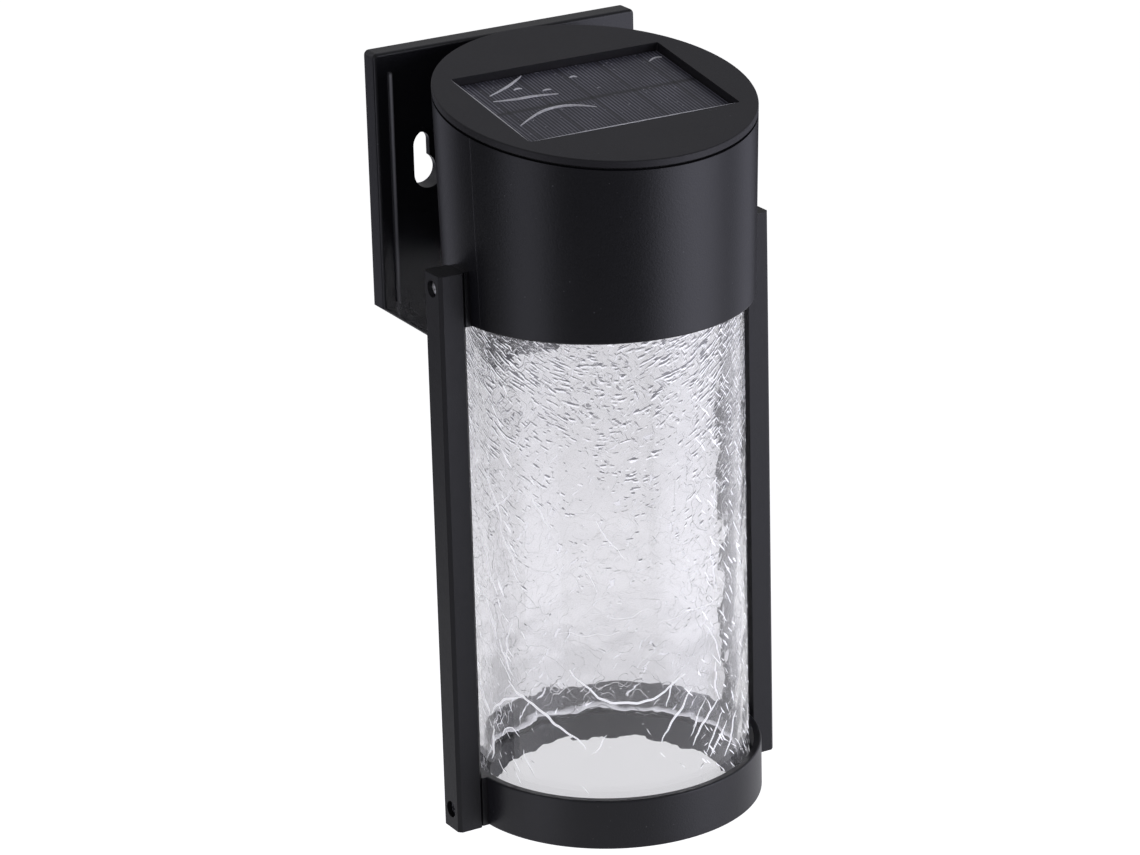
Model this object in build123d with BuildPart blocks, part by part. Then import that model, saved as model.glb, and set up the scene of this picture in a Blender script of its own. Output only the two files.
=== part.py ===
from build123d import *
import math
import os

# Wall light with a sloping solar lid. Millimetres, +Z up, the front faces -Y.
# The wall is the plane y = 0, and the head's rear pad is centred on z = 0.

# Head
head_top_r = 50.0
head_taper = 1.6
head_height = 65.5
head_drop = 32.0
head_wall = 2.4
head_edge_r = 0.6
lid_slope = 9.5
neck_reach = 4.9

# Glass window and base ring
window_height = 150.5
glass_gap = 1.4
glass_wall = 3.0
glass_rim_r = 0.9
glass_entry = 7.5
ring_height = 16.5
ring_ledge_height = 8.0
ring_ledge_width = 7.0
ring_ledge_thickness = 2.4
ring_wall = 2.4
ring_edge_r = 0.6

# Side bars
bar_inner_gap = 1.6
bar_width = 9.0
bar_depth = 10.3
bar_overlap = 17.7
bar_edge = 1.1
side_pad_share = 0.85

# Wall plate
plate_width = 94.2
plate_thickness = 6.6
plate_rise = 6.5
plate_shoulder_drop = 43.5
plate_drop = 68.5
plate_foot_width = 28.0
plate_top_corner_r = 1.6
plate_shoulder_r = 14.0
plate_foot_r = 7.0
plate_edge_r = 1.1
plate_skin = 2.2
plate_wall = 2.2
plate_rib = 1.8
plate_rib_rise = 22.0
plate_rib_drop = 34.0
line_inset = 4.4
line_width = 1.5
line_height = 0.7
line_start = 6.6

# Keyholes in the floors of two pockets
keyhole_spacing = 58.8
keyhole_entry_r = 5.0
keyhole_slot_r = 2.9
keyhole_rise = 9.2
keyhole_drop = 1.1
keyhole_skin = 2.2

# Rear pad and its screws
pad_width = 44.0
pad_height = 44.0
pad_corner_r = 4.0
pad_screw_spacing_x = 30.0
pad_screw_spacing_z = 24.0
pad_screw_reach = 7.0
pad_pilot_spare = 1.2

# Lid and solar panel
lid_rim = 2.1
lid_edge_r = 0.5
gasket_thickness = 0.9
gasket_inset = 1.3
lid_clearance = 0.3
lid_skirt_height = 5.0
lid_skirt_wall = 1.8
recess_width_share = 1.48
recess_length_share = 0.978
recess_drop = 4.4
recess_corner_r = 0.6
tray_wall = 1.6
tray_floor = 1.6
panel_gap = 0.3
panel_thickness = 1.7

# Floor of the head and what hangs under it
skirt_depth = 12.0
floor_thickness = 3.0
seal_thickness = 1.0
seal_side_gap = 0.3
diffuser_gap = 0.6
diffuser_seat_gap = 0.2
diffuser_wall = 1.5
diffuser_depth = 5.0
diffuser_crown = 2.2
led_board_gap = 6.5
led_board_thickness = 1.6
led_circle_inset = 12.0
led_count = 8
led_size = 4.0
led_height = 0.9
led_dome_r = 1.4
led_dome_height = 0.4
led_screw_inset = 5.0
led_screw_count = 3
led_screw_boss_r = 3.2
led_screw_boss_height = 3.0
led_screw_reach = 4.0

# Control board and its posts
board_thickness = 1.6
board_corner_r = 2.0
post_r = 3.0
post_height = 4.0
post_inset_x = 5.0
post_inset_y = 2.6
post_screw_gap = 0.4
post_screw_reach = 4.5
post_pilot_spare = 1.0

# Battery cell and its holder
cell_r_share = 0.184
cell_length_share = 1.28
cell_nub_r = 4.0
cell_nub_height = 1.2
cell_edge_r = 0.8
holder_wall = 1.3
holder_end_wall = 2.0
holder_lip = 2.5
cell_fit = 0.15
holder_gap = 0.15
contact_space = 2.0
contact_thickness = 0.4
contact_width = 9.0
contact_height = 12.0

# Small parts on the control board
chip_size = 7.0
chip_height = 1.3
coil_r = 3.6
coil_height = 3.8
capacitor_r = 2.6
capacitor_height = 7.0
component_x = 10.0
component_y = 10.0

# Motion sensor board and its two slotted guides
sensor_width = 30.0
sensor_height = 22.0
sensor_thickness = 1.2
sensor_gap = 8.0
sensor_can_width = 12.0
sensor_can_height = 9.0
sensor_can_thickness = 2.4
guide_size = 4.4
guide_height = 17.0
guide_grip = 1.6
guide_fit = 0.15

# Mode button and its switch
button_y = 4.0
button_r = 4.3
button_proud = 1.3
button_edge_r = 0.5
button_flange_r = 6.0
button_flange = 1.4
button_stem_r = 1.9
button_gap = 0.3
button_boss_r = 7.2
button_guide = 5.4
button_seat_depth = 2.0
button_seal_r = 6.0
button_seal_thickness = 1.1
switch_size = 6.0
switch_depth = 3.6
switch_edge = 1.0
plunger_r = 1.5
plunger_reach = 1.6
plunger_clearance = 0.3
plunger_travel = 1.2

# Lead, plug and socket of the solar panel
socket_x = -14.0
socket_y = 10.0
socket_width = 7.4
socket_length = 5.8
socket_height = 5.2
socket_wall = 0.9
plug_clearance = 0.3
plug_grip = 3.4
plug_head = 3.0
wire_r = 0.7
wire_pitch = 1.9
wire_bend_r = 4.0
wire_rise = 7.0
lead_hole_r = 2.4
lead_rise_share = 0.5

# Leads of the light board
led_lead_x = 0.0
led_lead_y = 8.0
led_lead_hole_r = 2.4

# Screws
screw_r = 1.45
screw_head_r = 2.55
screw_head_height = 1.8
screw_tip = 0.8
screw_cross_width = 0.8
screw_cross_depth = 0.9
screw_fit = 0.05
screw_clearance = 0.25
screw_well_depth = 2.6
screw_well_gap = 0.15
bar_screw_reach = 6.0
bar_pilot_spare = 1.2
bar_boss_r = 3.6
upper_screw_drop = 4.8
lower_screw_rise = 6.5

# One overrun serves every cut that runs past a face
overrun = 2.0

# Places that follow from the sizes
sides = (-1, 1)
slope = math.radians(lid_slope)
axis_y = -(plate_thickness + neck_reach + head_top_r)
head_bottom_r = head_top_r - head_taper
head_bottom_z = -head_drop
lid_z = head_height - head_drop
head_high_z = lid_z + head_top_r * math.tan(slope) + overrun
floor_z = head_bottom_z + skirt_depth
chamber_z = floor_z + floor_thickness
skirt_inner_r = head_bottom_r - head_wall
glass_r = skirt_inner_r - glass_gap
glass_bore_r = glass_r - glass_wall
glass_top_z = head_bottom_z + glass_entry
seat_z = glass_top_z + seal_thickness
diffuser_r = glass_bore_r - diffuser_gap
seat_bore_r = diffuser_r + diffuser_seat_gap
ring_bottom_z = head_bottom_z - window_height - ring_height
ring_ledge_z = ring_bottom_z + ring_ledge_height
glass_bottom_z = ring_ledge_z + seal_thickness
ring_bore_r = head_bottom_r - ring_wall
ring_mouth_r = ring_bore_r - ring_ledge_width
bar_inner_x = head_bottom_r + bar_inner_gap
bar_outer_x = bar_inner_x + bar_width
side_pad_width = bar_depth * side_pad_share
bar_top_z = head_bottom_z + bar_overlap
upper_screw_z = bar_top_z - upper_screw_drop
lower_screw_z = ring_bottom_z + lower_screw_rise
screw_well_r = screw_head_r + screw_well_gap
bar_pilot_x = bar_inner_x - bar_screw_reach - bar_pilot_spare
plate_top_z = lid_z + plate_rise
recess_width = head_top_r * recess_width_share
recess_length = head_top_r * recess_length_share
led_board_r = diffuser_r - diffuser_wall - led_board_gap
led_circle_r = led_board_r - led_circle_inset
led_screw_circle_r = led_board_r - led_screw_inset
cell_r = head_top_r * cell_r_share
cell_length = head_top_r * cell_length_share
holder_width = 2 * (cell_r + cell_fit + holder_wall)
cradle_half = cell_length / 2 + contact_space
holder_half = cradle_half + holder_end_wall
cell_y = button_y - switch_size / 2 - holder_gap - holder_width / 2
post_y = holder_width / 2 - cell_y + screw_head_r + post_screw_gap
board_length = 2 * holder_half
board_width = 2 * (post_y + post_inset_y)
sensor_y = -(board_width / 2 + sensor_gap)
board_z = chamber_z + post_height
board_top_z = board_z + board_thickness
cell_z = board_top_z + holder_wall + cell_fit + cell_r
switch_z = board_top_z + switch_size / 2
switch_front_x = board_length / 2 - switch_edge
plunger_front_x = switch_front_x + plunger_reach

lamp_axis = Axis((0, axis_y, 0), (0, 0, 1))
section = Plane(origin=(0, axis_y, 0), x_dir=(1, 0, 0), z_dir=(0, -1, 0))
lid_top = Plane(origin=(0, axis_y, lid_z), x_dir=(1, 0, 0), z_dir=(0, -math.sin(slope), math.cos(slope)))
lid_underside = lid_top.offset(-lid_rim)
seam = lid_underside.offset(-gasket_thickness)
plate_front = Plane.XZ.offset(plate_thickness)


def head_radius(z):
    """Outer radius of the tapered head at a height."""
    return head_bottom_r + head_taper * (z - head_bottom_z) / head_height


def level(z):
    """Horizontal plane at a height, centred on the lamp's axis."""
    return Plane(origin=(0, axis_y, z), x_dir=(1, 0, 0), z_dir=(0, 0, 1))


def facing_side(side, x, z):
    """Upright plane that looks sideways, away from the lamp's axis."""
    return Plane(origin=(side * x, axis_y, z), x_dir=(0, side, 0), z_dir=(side, 0, 0))


def plate_outline_points():
    """Corners of the wall plate: straight sides, sloping shoulders and a flat foot."""
    half = plate_width / 2
    foot = plate_foot_width / 2
    return [
        (-half, plate_top_z),
        (-half, -plate_shoulder_drop),
        (-foot, -plate_drop),
        (foot, -plate_drop),
        (half, -plate_shoulder_drop),
        (half, plate_top_z),
    ]


def plate_sketch(inset):
    """Wall plate outline with rounded corners, drawn in by an inset."""
    Polygon(*plate_outline_points())
    outline = vertices().group_by(Axis.Y)
    fillet(outline[-1], plate_top_corner_r)
    fillet(outline[1], plate_shoulder_r)
    fillet(outline[0], plate_foot_r)
    if inset:
        offset(amount=-inset, kind=Kind.INTERSECTION)


def keyhole_sketch(side):
    """Keyhole outline: round entry with a narrower slot above it."""
    with Locations((side * keyhole_spacing / 2, -keyhole_drop)):
        Circle(keyhole_entry_r)
        Rectangle(2 * keyhole_slot_r, keyhole_rise, align=(Align.CENTER, Align.MIN))
    with Locations((side * keyhole_spacing / 2, keyhole_rise - keyhole_drop)):
        Circle(keyhole_slot_r)


def pocket_sketch(side, margin):
    """Outline of the pocket round a keyhole, as wide as its entry, grown by a margin."""
    with Locations((side * keyhole_spacing / 2, keyhole_rise / 2 - keyhole_drop)):
        SlotCenterToCenter(keyhole_rise, 2 * (keyhole_entry_r + margin), rotation=90)


def make_screw(reach):
    """Pan-head screw with a cross recess: the head sits on the XY plane, the shank runs down."""
    with BuildPart() as screw:
        with BuildSketch(Plane.XZ):
            with BuildLine():
                Polyline(
                    (0, screw_head_height),
                    (0, -reach),
                    (screw_r / 2, -reach),
                    (screw_r, -reach + screw_tip),
                    (screw_r, 0),
                    (screw_head_r, 0),
                    (screw_head_r, screw_head_height / 2),
                )
                TangentArc((0, screw_head_height), (screw_head_r, screw_head_height / 2), tangent=(1, 0))
            make_face()
        revolve(axis=Axis.Z)
        with BuildSketch(Plane.XY.offset(screw_head_height)):
            Rectangle(screw_head_r * 4 / 3, screw_cross_width)
            Rectangle(screw_cross_width, screw_head_r * 4 / 3)
        extrude(amount=-screw_cross_depth, mode=Mode.SUBTRACT)
    return screw.part


def save(piece, name):
    """Labels a finished piece and writes its STEP file."""
    piece.part.label = name
    export_step(piece.part, "parts/" + name + ".step")


os.makedirs("parts", exist_ok=True)
button_side_x = head_radius(switch_z)
button_face_x = button_side_x + button_proud
button_inner_x = button_side_x - button_guide
button_plane = Plane(origin=(button_inner_x, axis_y + button_y, switch_z), x_dir=(0, 1, 0), z_dir=(1, 0, 0))
pad_screw_places = [
    (x * pad_screw_spacing_x / 2, z * pad_screw_spacing_z / 2) for x in sides for z in sides
]
post_places = [(x * (board_length / 2 - post_inset_x), y * post_y) for x in sides for y in sides]

# Wall plate: a moulded tray, open to the wall, with ribs and bosses in its back
with BuildPart() as wall_plate:
    with BuildSketch(Plane.XZ):
        plate_sketch(0)
    extrude(amount=plate_thickness)
    fillet(wall_plate.faces().sort_by(Axis.Y)[0].edges(), plate_edge_r)
    with BuildSketch(Plane.XZ):
        plate_sketch(plate_wall)
    extrude(amount=plate_thickness - plate_skin, mode=Mode.SUBTRACT)
    rib_span = plate_width - plate_wall
    with BuildSketch(Plane.XZ):
        with Locations((0, plate_rib_rise), (0, 0), (0, -plate_rib_drop)):
            Rectangle(rib_span, plate_rib)
        with Locations((0, plate_top_z - plate_wall / 2)):
            Rectangle(plate_rib, plate_top_z + plate_drop - plate_wall, align=(Align.CENTER, Align.MAX))
        for side in sides:
            pocket_sketch(side, plate_wall)
    extrude(amount=plate_thickness - plate_skin / 2)
    with BuildSketch(Plane.XZ.offset(keyhole_skin)):
        for side in sides:
            pocket_sketch(side, 0)
    extrude(amount=plate_thickness, mode=Mode.SUBTRACT)
    with BuildSketch(Plane.XZ):
        for side in sides:
            keyhole_sketch(side)
    extrude(amount=keyhole_skin, mode=Mode.SUBTRACT)
    with BuildSketch(plate_front):
        with Locations(*pad_screw_places):
            Circle(screw_r + screw_clearance)
    extrude(amount=-plate_thickness, mode=Mode.SUBTRACT)
    with BuildSketch(Plane.XZ):
        with Locations(*pad_screw_places):
            Circle(screw_head_r + screw_clearance)
    extrude(amount=plate_thickness - plate_skin, mode=Mode.SUBTRACT)
    with BuildSketch(plate_front):
        plate_sketch(line_inset)
        offset(amount=-line_width, kind=Kind.INTERSECTION, mode=Mode.SUBTRACT)
        with Locations((0, plate_top_z)):
            Rectangle(plate_width, 2 * line_start, mode=Mode.SUBTRACT)
    extrude(amount=line_height)
save(wall_plate, "wall_plate")

# Screws that hold the plate to the head, driven from the wall side
pad_screw = make_screw(plate_skin + pad_screw_reach)
with BuildPart() as plate_screws:
    for x, z in pad_screw_places:
        with Locations(Plane(origin=(x, plate_skin - plate_thickness, z), x_dir=(-1, 0, 0), z_dir=(0, 1, 0))):
            add(pad_screw)
save(plate_screws, "plate_screws")

# Head: tapered shell, open at its sloping top, with the floor that carries everything
with BuildPart() as head_housing:
    with BuildSketch(section):
        Polygon(
            (0, head_bottom_z),
            (head_bottom_r, head_bottom_z),
            (head_radius(head_high_z), head_high_z),
            (0, head_high_z),
        )
    revolve(axis=lamp_axis)
    fillet(head_housing.edges().sort_by(Axis.Z)[0], head_edge_r)
    with BuildSketch(plate_front):
        RectangleRounded(pad_width, pad_height, pad_corner_r)
    extrude(amount=neck_reach + head_taper + pad_width / 4)
    for side in sides:
        with BuildSketch(facing_side(side, bar_inner_x, head_bottom_z)):
            Rectangle(side_pad_width, bar_overlap, align=(Align.CENTER, Align.MIN))
        extrude(amount=-(bar_inner_gap + head_wall / 2))
    # Chamber above the floor
    with BuildSketch(section):
        Polygon(
            (0, chamber_z),
            (head_radius(chamber_z) - head_wall, chamber_z),
            (head_radius(head_high_z) - head_wall, head_high_z + overrun),
            (0, head_high_z + overrun),
        )
    revolve(axis=lamp_axis, mode=Mode.SUBTRACT)
    # Underside: pocket for the light board and diffuser, seat for the glass
    with BuildSketch(section):
        Polygon(
            (0, floor_z),
            (seat_bore_r, floor_z),
            (seat_bore_r, seat_z),
            (skirt_inner_r, seat_z),
            (skirt_inner_r, head_bottom_z - overrun),
            (0, head_bottom_z - overrun),
        )
    revolve(axis=lamp_axis, mode=Mode.SUBTRACT)
    split(bisect_by=seam, keep=Keep.BOTTOM)
    # Bosses inside for the bar screws
    for side in sides:
        with BuildSketch(facing_side(side, skirt_inner_r, upper_screw_z)):
            Circle(bar_boss_r)
        extrude(amount=-(skirt_inner_r - seat_bore_r))
        with BuildSketch(facing_side(side, bar_inner_x, upper_screw_z)):
            Circle(screw_r + screw_fit)
        extrude(amount=-(bar_inner_x - bar_pilot_x), mode=Mode.SUBTRACT)
    # Pilot holes for the screws from the wall plate
    with BuildSketch(plate_front):
        with Locations(*pad_screw_places):
            Circle(screw_r + screw_fit)
    extrude(amount=pad_screw_reach + pad_pilot_spare, mode=Mode.SUBTRACT)
    # Posts for the control board and bosses for the light board's screws
    with BuildSketch(level(chamber_z)):
        with Locations(*post_places):
            Circle(post_r)
    extrude(amount=post_height)
    with BuildSketch(level(board_z)):
        with Locations(*post_places):
            Circle(screw_r + screw_fit)
    extrude(amount=-(post_screw_reach + post_pilot_spare), mode=Mode.SUBTRACT)
    with BuildSketch(level(chamber_z)):
        with PolarLocations(led_screw_circle_r, led_screw_count, start_angle=90):
            Circle(led_screw_boss_r)
    extrude(amount=led_screw_boss_height)
    with BuildSketch(level(floor_z)):
        with PolarLocations(led_screw_circle_r, led_screw_count, start_angle=90):
            Circle(screw_r + screw_fit)
        with Locations((led_lead_x, led_lead_y)):
            Circle(led_lead_hole_r)
    extrude(amount=floor_thickness + led_screw_boss_height / 2, mode=Mode.SUBTRACT)
    # Slotted guides that hold the motion sensor upright
    with BuildSketch(level(chamber_z)):
        for side in sides:
            with Locations((side * (sensor_width / 2 + guide_size / 2 - guide_grip), sensor_y)):
                Rectangle(guide_size, guide_size)
    extrude(amount=guide_height)
    with BuildSketch(level(chamber_z)):
        with Locations((0, sensor_y)):
            Rectangle(sensor_width + 2 * guide_fit, sensor_thickness + 2 * guide_fit)
    extrude(amount=guide_height, mode=Mode.SUBTRACT)
    # Boss and hole of the mode button, with a counterbore for its seal
    with BuildSketch(button_plane):
        Circle(button_boss_r)
    extrude(amount=button_guide - head_wall * 3 / 4)
    with BuildSketch(button_plane.offset(-overrun)):
        Circle(button_r + button_gap)
    extrude(amount=button_face_x - button_inner_x + 2 * overrun, mode=Mode.SUBTRACT)
    with BuildSketch(button_plane.offset(button_guide - button_seat_depth)):
        Circle(button_seal_r)
    extrude(amount=button_seat_depth + overrun, mode=Mode.SUBTRACT)
save(head_housing, "head_housing")

# Lid skirt: the round spigot that drops into the head
skirt_low_z = lid_z - head_top_r * math.tan(slope) - lid_rim - lid_skirt_height
skirt_r = head_radius(skirt_low_z) - head_wall - lid_clearance
with BuildPart() as lid_skirt:
    with BuildSketch(level(skirt_low_z - overrun)):
        Circle(skirt_r)
        Circle(skirt_r - lid_skirt_wall, mode=Mode.SUBTRACT)
    extrude(amount=head_high_z - skirt_low_z + overrun)
    split(bisect_by=lid_underside.offset(lid_rim / 2), keep=Keep.BOTTOM)
    split(bisect_by=lid_underside.offset(-lid_skirt_height), keep=Keep.TOP)

# Lid: a slice of the head's taper with the panel's recess and the tray below it
with BuildPart() as solar_lid:
    with BuildSketch(section):
        Polygon(
            (0, head_bottom_z),
            (head_bottom_r, head_bottom_z),
            (head_radius(head_high_z), head_high_z),
            (0, head_high_z),
        )
    revolve(axis=lamp_axis)
    split(bisect_by=lid_top, keep=Keep.BOTTOM)
    split(bisect_by=lid_underside, keep=Keep.TOP)
    fillet(solar_lid.faces().sort_by(Axis(lid_top.origin, lid_top.z_dir))[-1].edges(), lid_edge_r)
    with BuildSketch(lid_underside.offset(lid_rim / 2)):
        RectangleRounded(recess_width + 2 * tray_wall, recess_length + 2 * tray_wall, tray_wall)
    extrude(amount=-(recess_drop + tray_floor - lid_rim / 2))
    add(lid_skirt.part)
    with BuildSketch(lid_top):
        RectangleRounded(recess_width, recess_length, recess_corner_r)
    extrude(amount=-recess_drop, mode=Mode.SUBTRACT)
    with BuildSketch(level(board_top_z)):
        with Locations((0, socket_y)):
            Circle(lead_hole_r)
    extrude(amount=head_high_z - board_top_z, mode=Mode.SUBTRACT)
save(solar_lid, "solar_lid")

# Rubber ring between the lid and the head's rim
with BuildPart() as lid_gasket:
    with BuildSketch(section):
        Polygon(
            (skirt_r + lid_clearance, skirt_low_z),
            (head_radius(skirt_low_z) - gasket_inset, skirt_low_z),
            (head_radius(head_high_z) - gasket_inset, head_high_z),
            (skirt_r + lid_clearance, head_high_z),
        )
    revolve(axis=lamp_axis)
    split(bisect_by=lid_underside, keep=Keep.BOTTOM)
    split(bisect_by=seam, keep=Keep.TOP)
save(lid_gasket, "lid_gasket")

# Solar panel: the cell plate on the recess floor
with BuildPart() as solar_panel:
    with BuildSketch(lid_top.offset(-recess_drop)):
        Rectangle(recess_width - 2 * panel_gap, recess_length - 2 * panel_gap)
    extrude(amount=panel_thickness)
save(solar_panel, "solar_panel")

# Glass tube with fire-polished rims
with BuildPart() as glass_tube:
    with BuildSketch(section):
        with Locations(((glass_r + glass_bore_r) / 2, (glass_top_z + glass_bottom_z) / 2)):
            RectangleRounded(glass_wall, glass_top_z - glass_bottom_z, glass_rim_r)
    revolve(axis=lamp_axis)
save(glass_tube, "glass_tube")

# Flat rubber seals at the two ends of the glass
with BuildPart() as upper_glass_seal:
    with BuildSketch(level(glass_top_z)):
        Circle(skirt_inner_r - seal_side_gap)
        Circle(seat_bore_r + seal_side_gap, mode=Mode.SUBTRACT)
    extrude(amount=seal_thickness)
save(upper_glass_seal, "upper_glass_seal")

with BuildPart() as lower_glass_seal:
    with BuildSketch(level(ring_ledge_z)):
        Circle(ring_bore_r - seal_side_gap)
        Circle(glass_bore_r - seal_side_gap, mode=Mode.SUBTRACT)
    extrude(amount=seal_thickness)
save(lower_glass_seal, "lower_glass_seal")

# Base ring: channel section with a ledge for the glass and an open mouth
with BuildPart() as base_ring:
    with BuildSketch(section):
        Polygon(
            (head_bottom_r, ring_bottom_z),
            (head_bottom_r, ring_bottom_z + ring_height),
            (ring_bore_r, ring_bottom_z + ring_height),
            (ring_bore_r, ring_ledge_z),
            (ring_mouth_r, ring_ledge_z),
            (ring_mouth_r, ring_bottom_z),
            (ring_mouth_r + ring_wall, ring_bottom_z),
            (ring_mouth_r + ring_wall, ring_ledge_z - ring_ledge_thickness),
            (ring_bore_r, ring_ledge_z - ring_ledge_thickness),
            (ring_bore_r, ring_bottom_z),
        )
    revolve(axis=lamp_axis)
    ring_edges = base_ring.edges().filter_by(GeomType.CIRCLE).sort_by(SortBy.RADIUS)
    fillet(ring_edges[-2:], ring_edge_r)
    for side in sides:
        with BuildSketch(facing_side(side, bar_inner_x, ring_bottom_z)):
            Rectangle(side_pad_width, ring_height, align=(Align.CENTER, Align.MIN))
        extrude(amount=-(bar_inner_gap + ring_wall / 2))
        with BuildSketch(facing_side(side, ring_bore_r, ring_bottom_z)):
            Rectangle(2 * bar_boss_r, ring_ledge_height, align=(Align.CENTER, Align.MIN))
        extrude(amount=-(ring_ledge_width - ring_wall / 2))
    # The bore is cut last, so that pads and bosses never reach into it
    with BuildSketch(level(ring_ledge_z)):
        Circle(ring_bore_r)
    extrude(amount=ring_height, mode=Mode.SUBTRACT)
    for side in sides:
        with BuildSketch(facing_side(side, bar_inner_x, lower_screw_z)):
            Circle(screw_r + screw_fit)
        extrude(amount=-(bar_inner_x - bar_pilot_x), mode=Mode.SUBTRACT)
save(base_ring, "base_ring")

# Side bars with chamfered corners and a screw well near each end
for side, name in zip(sides, ("side_bar_left", "side_bar_right")):
    with BuildPart() as side_bar:
        with BuildSketch(level(ring_bottom_z)):
            with Locations((side * (bar_inner_x + bar_width / 2), 0)):
                bar_outline = Rectangle(bar_width, bar_depth)
            chamfer(bar_outline.vertices(), bar_edge)
        extrude(amount=bar_top_z - ring_bottom_z)
        for z in (upper_screw_z, lower_screw_z):
            with BuildSketch(facing_side(side, bar_outer_x, z)):
                Circle(screw_well_r)
            extrude(amount=-screw_well_depth, mode=Mode.SUBTRACT)
            with BuildSketch(facing_side(side, bar_outer_x, z)):
                Circle(screw_r + screw_clearance)
            extrude(amount=-bar_width, mode=Mode.SUBTRACT)
    save(side_bar, name)

# Screws through the bars into the head and into the base ring
bar_screw = make_screw(bar_width - screw_well_depth + bar_screw_reach)
for name, z in (("upper_bar_screws", upper_screw_z), ("lower_bar_screws", lower_screw_z)):
    with BuildPart() as bar_screws:
        for side in sides:
            with Locations(facing_side(side, bar_outer_x - screw_well_depth, z)):
                add(bar_screw)
    save(bar_screws, name)

# Diffuser: a shallow domed cup whose rim meets the floor
with BuildPart() as diffuser:
    crown_z = floor_z - diffuser_depth
    inner_r = diffuser_r - diffuser_wall
    low_z = crown_z - diffuser_crown
    with BuildSketch(section):
        with BuildLine():
            TangentArc((0, low_z), (diffuser_r, crown_z), tangent=(1, 0))
            Polyline(
                (diffuser_r, crown_z),
                (diffuser_r, floor_z),
                (inner_r, floor_z),
                (inner_r, crown_z + diffuser_wall),
            )
            TangentArc((0, low_z + diffuser_wall), (inner_r, crown_z + diffuser_wall), tangent=(1, 0))
            Line((0, low_z), (0, low_z + diffuser_wall))
        make_face()
    revolve(axis=lamp_axis)
save(diffuser, "diffuser")

# Round light board against the underside of the floor
with BuildPart() as led_board:
    with BuildSketch(level(floor_z)):
        Circle(led_board_r)
        with PolarLocations(led_screw_circle_r, led_screw_count, start_angle=90):
            Circle(screw_r + screw_clearance, mode=Mode.SUBTRACT)
    extrude(amount=-led_board_thickness)
save(led_board, "led_board")

with BuildPart() as leds:
    led_face = level(floor_z - led_board_thickness)
    with BuildSketch(led_face):
        with PolarLocations(led_circle_r, led_count):
            Rectangle(led_size, led_size)
    extrude(amount=-led_height)
    with BuildSketch(led_face.offset(-led_height)):
        with PolarLocations(led_circle_r, led_count):
            Circle(led_dome_r)
    extrude(amount=-led_dome_height)
save(leds, "leds")

led_screw = make_screw(led_board_thickness + led_screw_reach)
led_screw_plane = Plane(origin=(0, axis_y, floor_z - led_board_thickness), x_dir=(1, 0, 0), z_dir=(0, 0, -1))
with BuildPart() as led_board_screws:
    with Locations(led_screw_plane):
        with PolarLocations(led_screw_circle_r, led_screw_count, start_angle=-90):
            add(led_screw)
save(led_board_screws, "led_board_screws")

# Two short leads from the control board down to the light board
with BuildPart() as led_lead:
    with BuildSketch(level(floor_z)):
        with Locations((led_lead_x, led_lead_y)):
            with GridLocations(wire_pitch, 0, 2, 1):
                Circle(wire_r)
    extrude(amount=board_z - floor_z)
save(led_lead, "led_lead")

# Control board on its four posts
with BuildPart() as control_board:
    with BuildSketch(level(board_z)):
        RectangleRounded(board_length, board_width, board_corner_r)
        with Locations(*post_places):
            Circle(screw_r + screw_clearance, mode=Mode.SUBTRACT)
    extrude(amount=board_thickness)
save(control_board, "control_board")

post_screw = make_screw(board_thickness + post_screw_reach)
with BuildPart() as board_screws:
    with Locations(level(board_top_z)):
        with Locations(*post_places):
            add(post_screw)
save(board_screws, "board_screws")

with BuildPart() as board_components:
    with BuildSketch(level(board_top_z)):
        with Locations((0, component_y)):
            Rectangle(chip_size, chip_size)
    extrude(amount=chip_height)
    with BuildSketch(level(board_top_z)):
        with Locations((component_x, component_y)):
            Circle(coil_r)
    extrude(amount=coil_height)
    with BuildSketch(level(board_top_z)):
        with Locations((2 * component_x, component_y)):
            Circle(capacitor_r)
    extrude(amount=capacitor_height)
save(board_components, "board_components")

# Battery holder: an open cradle between two end walls
with BuildPart() as battery_holder:
    with BuildSketch(level(board_top_z)):
        with Locations((0, cell_y)):
            Rectangle(2 * holder_half, holder_width)
    extrude(amount=cell_z - board_top_z + holder_lip)
    with BuildSketch(Plane(origin=(-cradle_half, axis_y + cell_y, cell_z), x_dir=(0, 1, 0), z_dir=(1, 0, 0))):
        Circle(cell_r + cell_fit)
        Rectangle(2 * (cell_r + cell_fit - holder_wall), cell_r, align=(Align.CENTER, Align.MIN))
    extrude(amount=2 * cradle_half, mode=Mode.SUBTRACT)
save(battery_holder, "battery_holder")

cell_end = Plane(origin=(-cell_length / 2, axis_y + cell_y, cell_z), x_dir=(0, 1, 0), z_dir=(1, 0, 0))
with BuildPart() as battery_cell:
    with BuildSketch(cell_end):
        Circle(cell_r)
    extrude(amount=cell_length - cell_nub_height)
    fillet(battery_cell.edges().filter_by(GeomType.CIRCLE), cell_edge_r)
    with BuildSketch(battery_cell.faces().sort_by(Axis.X)[-1]):
        Circle(cell_nub_r)
    extrude(amount=cell_nub_height)
save(battery_cell, "battery_cell")

# Leaf contacts, bowed from the end walls to the ends of the cell
with BuildPart() as battery_contacts:
    for side in sides:
        wall_x = side * cradle_half
        bow_x = side * (cell_length / 2)
        leaf = side * contact_thickness
        edge_y = cell_y + contact_width / 2
        with BuildSketch(level(cell_z - contact_height / 2)):
            with BuildLine():
                ThreePointArc((wall_x, cell_y - contact_width / 2), (bow_x + leaf, cell_y), (wall_x, edge_y))
                Line((wall_x, edge_y), (wall_x - leaf, edge_y))
                ThreePointArc(
                    (wall_x - leaf, edge_y),
                    (bow_x, cell_y),
                    (wall_x - leaf, cell_y - contact_width / 2),
                )
                Line((wall_x - leaf, cell_y - contact_width / 2), (wall_x, cell_y - contact_width / 2))
            make_face()
        extrude(amount=contact_height)
save(battery_contacts, "battery_contacts")

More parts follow.
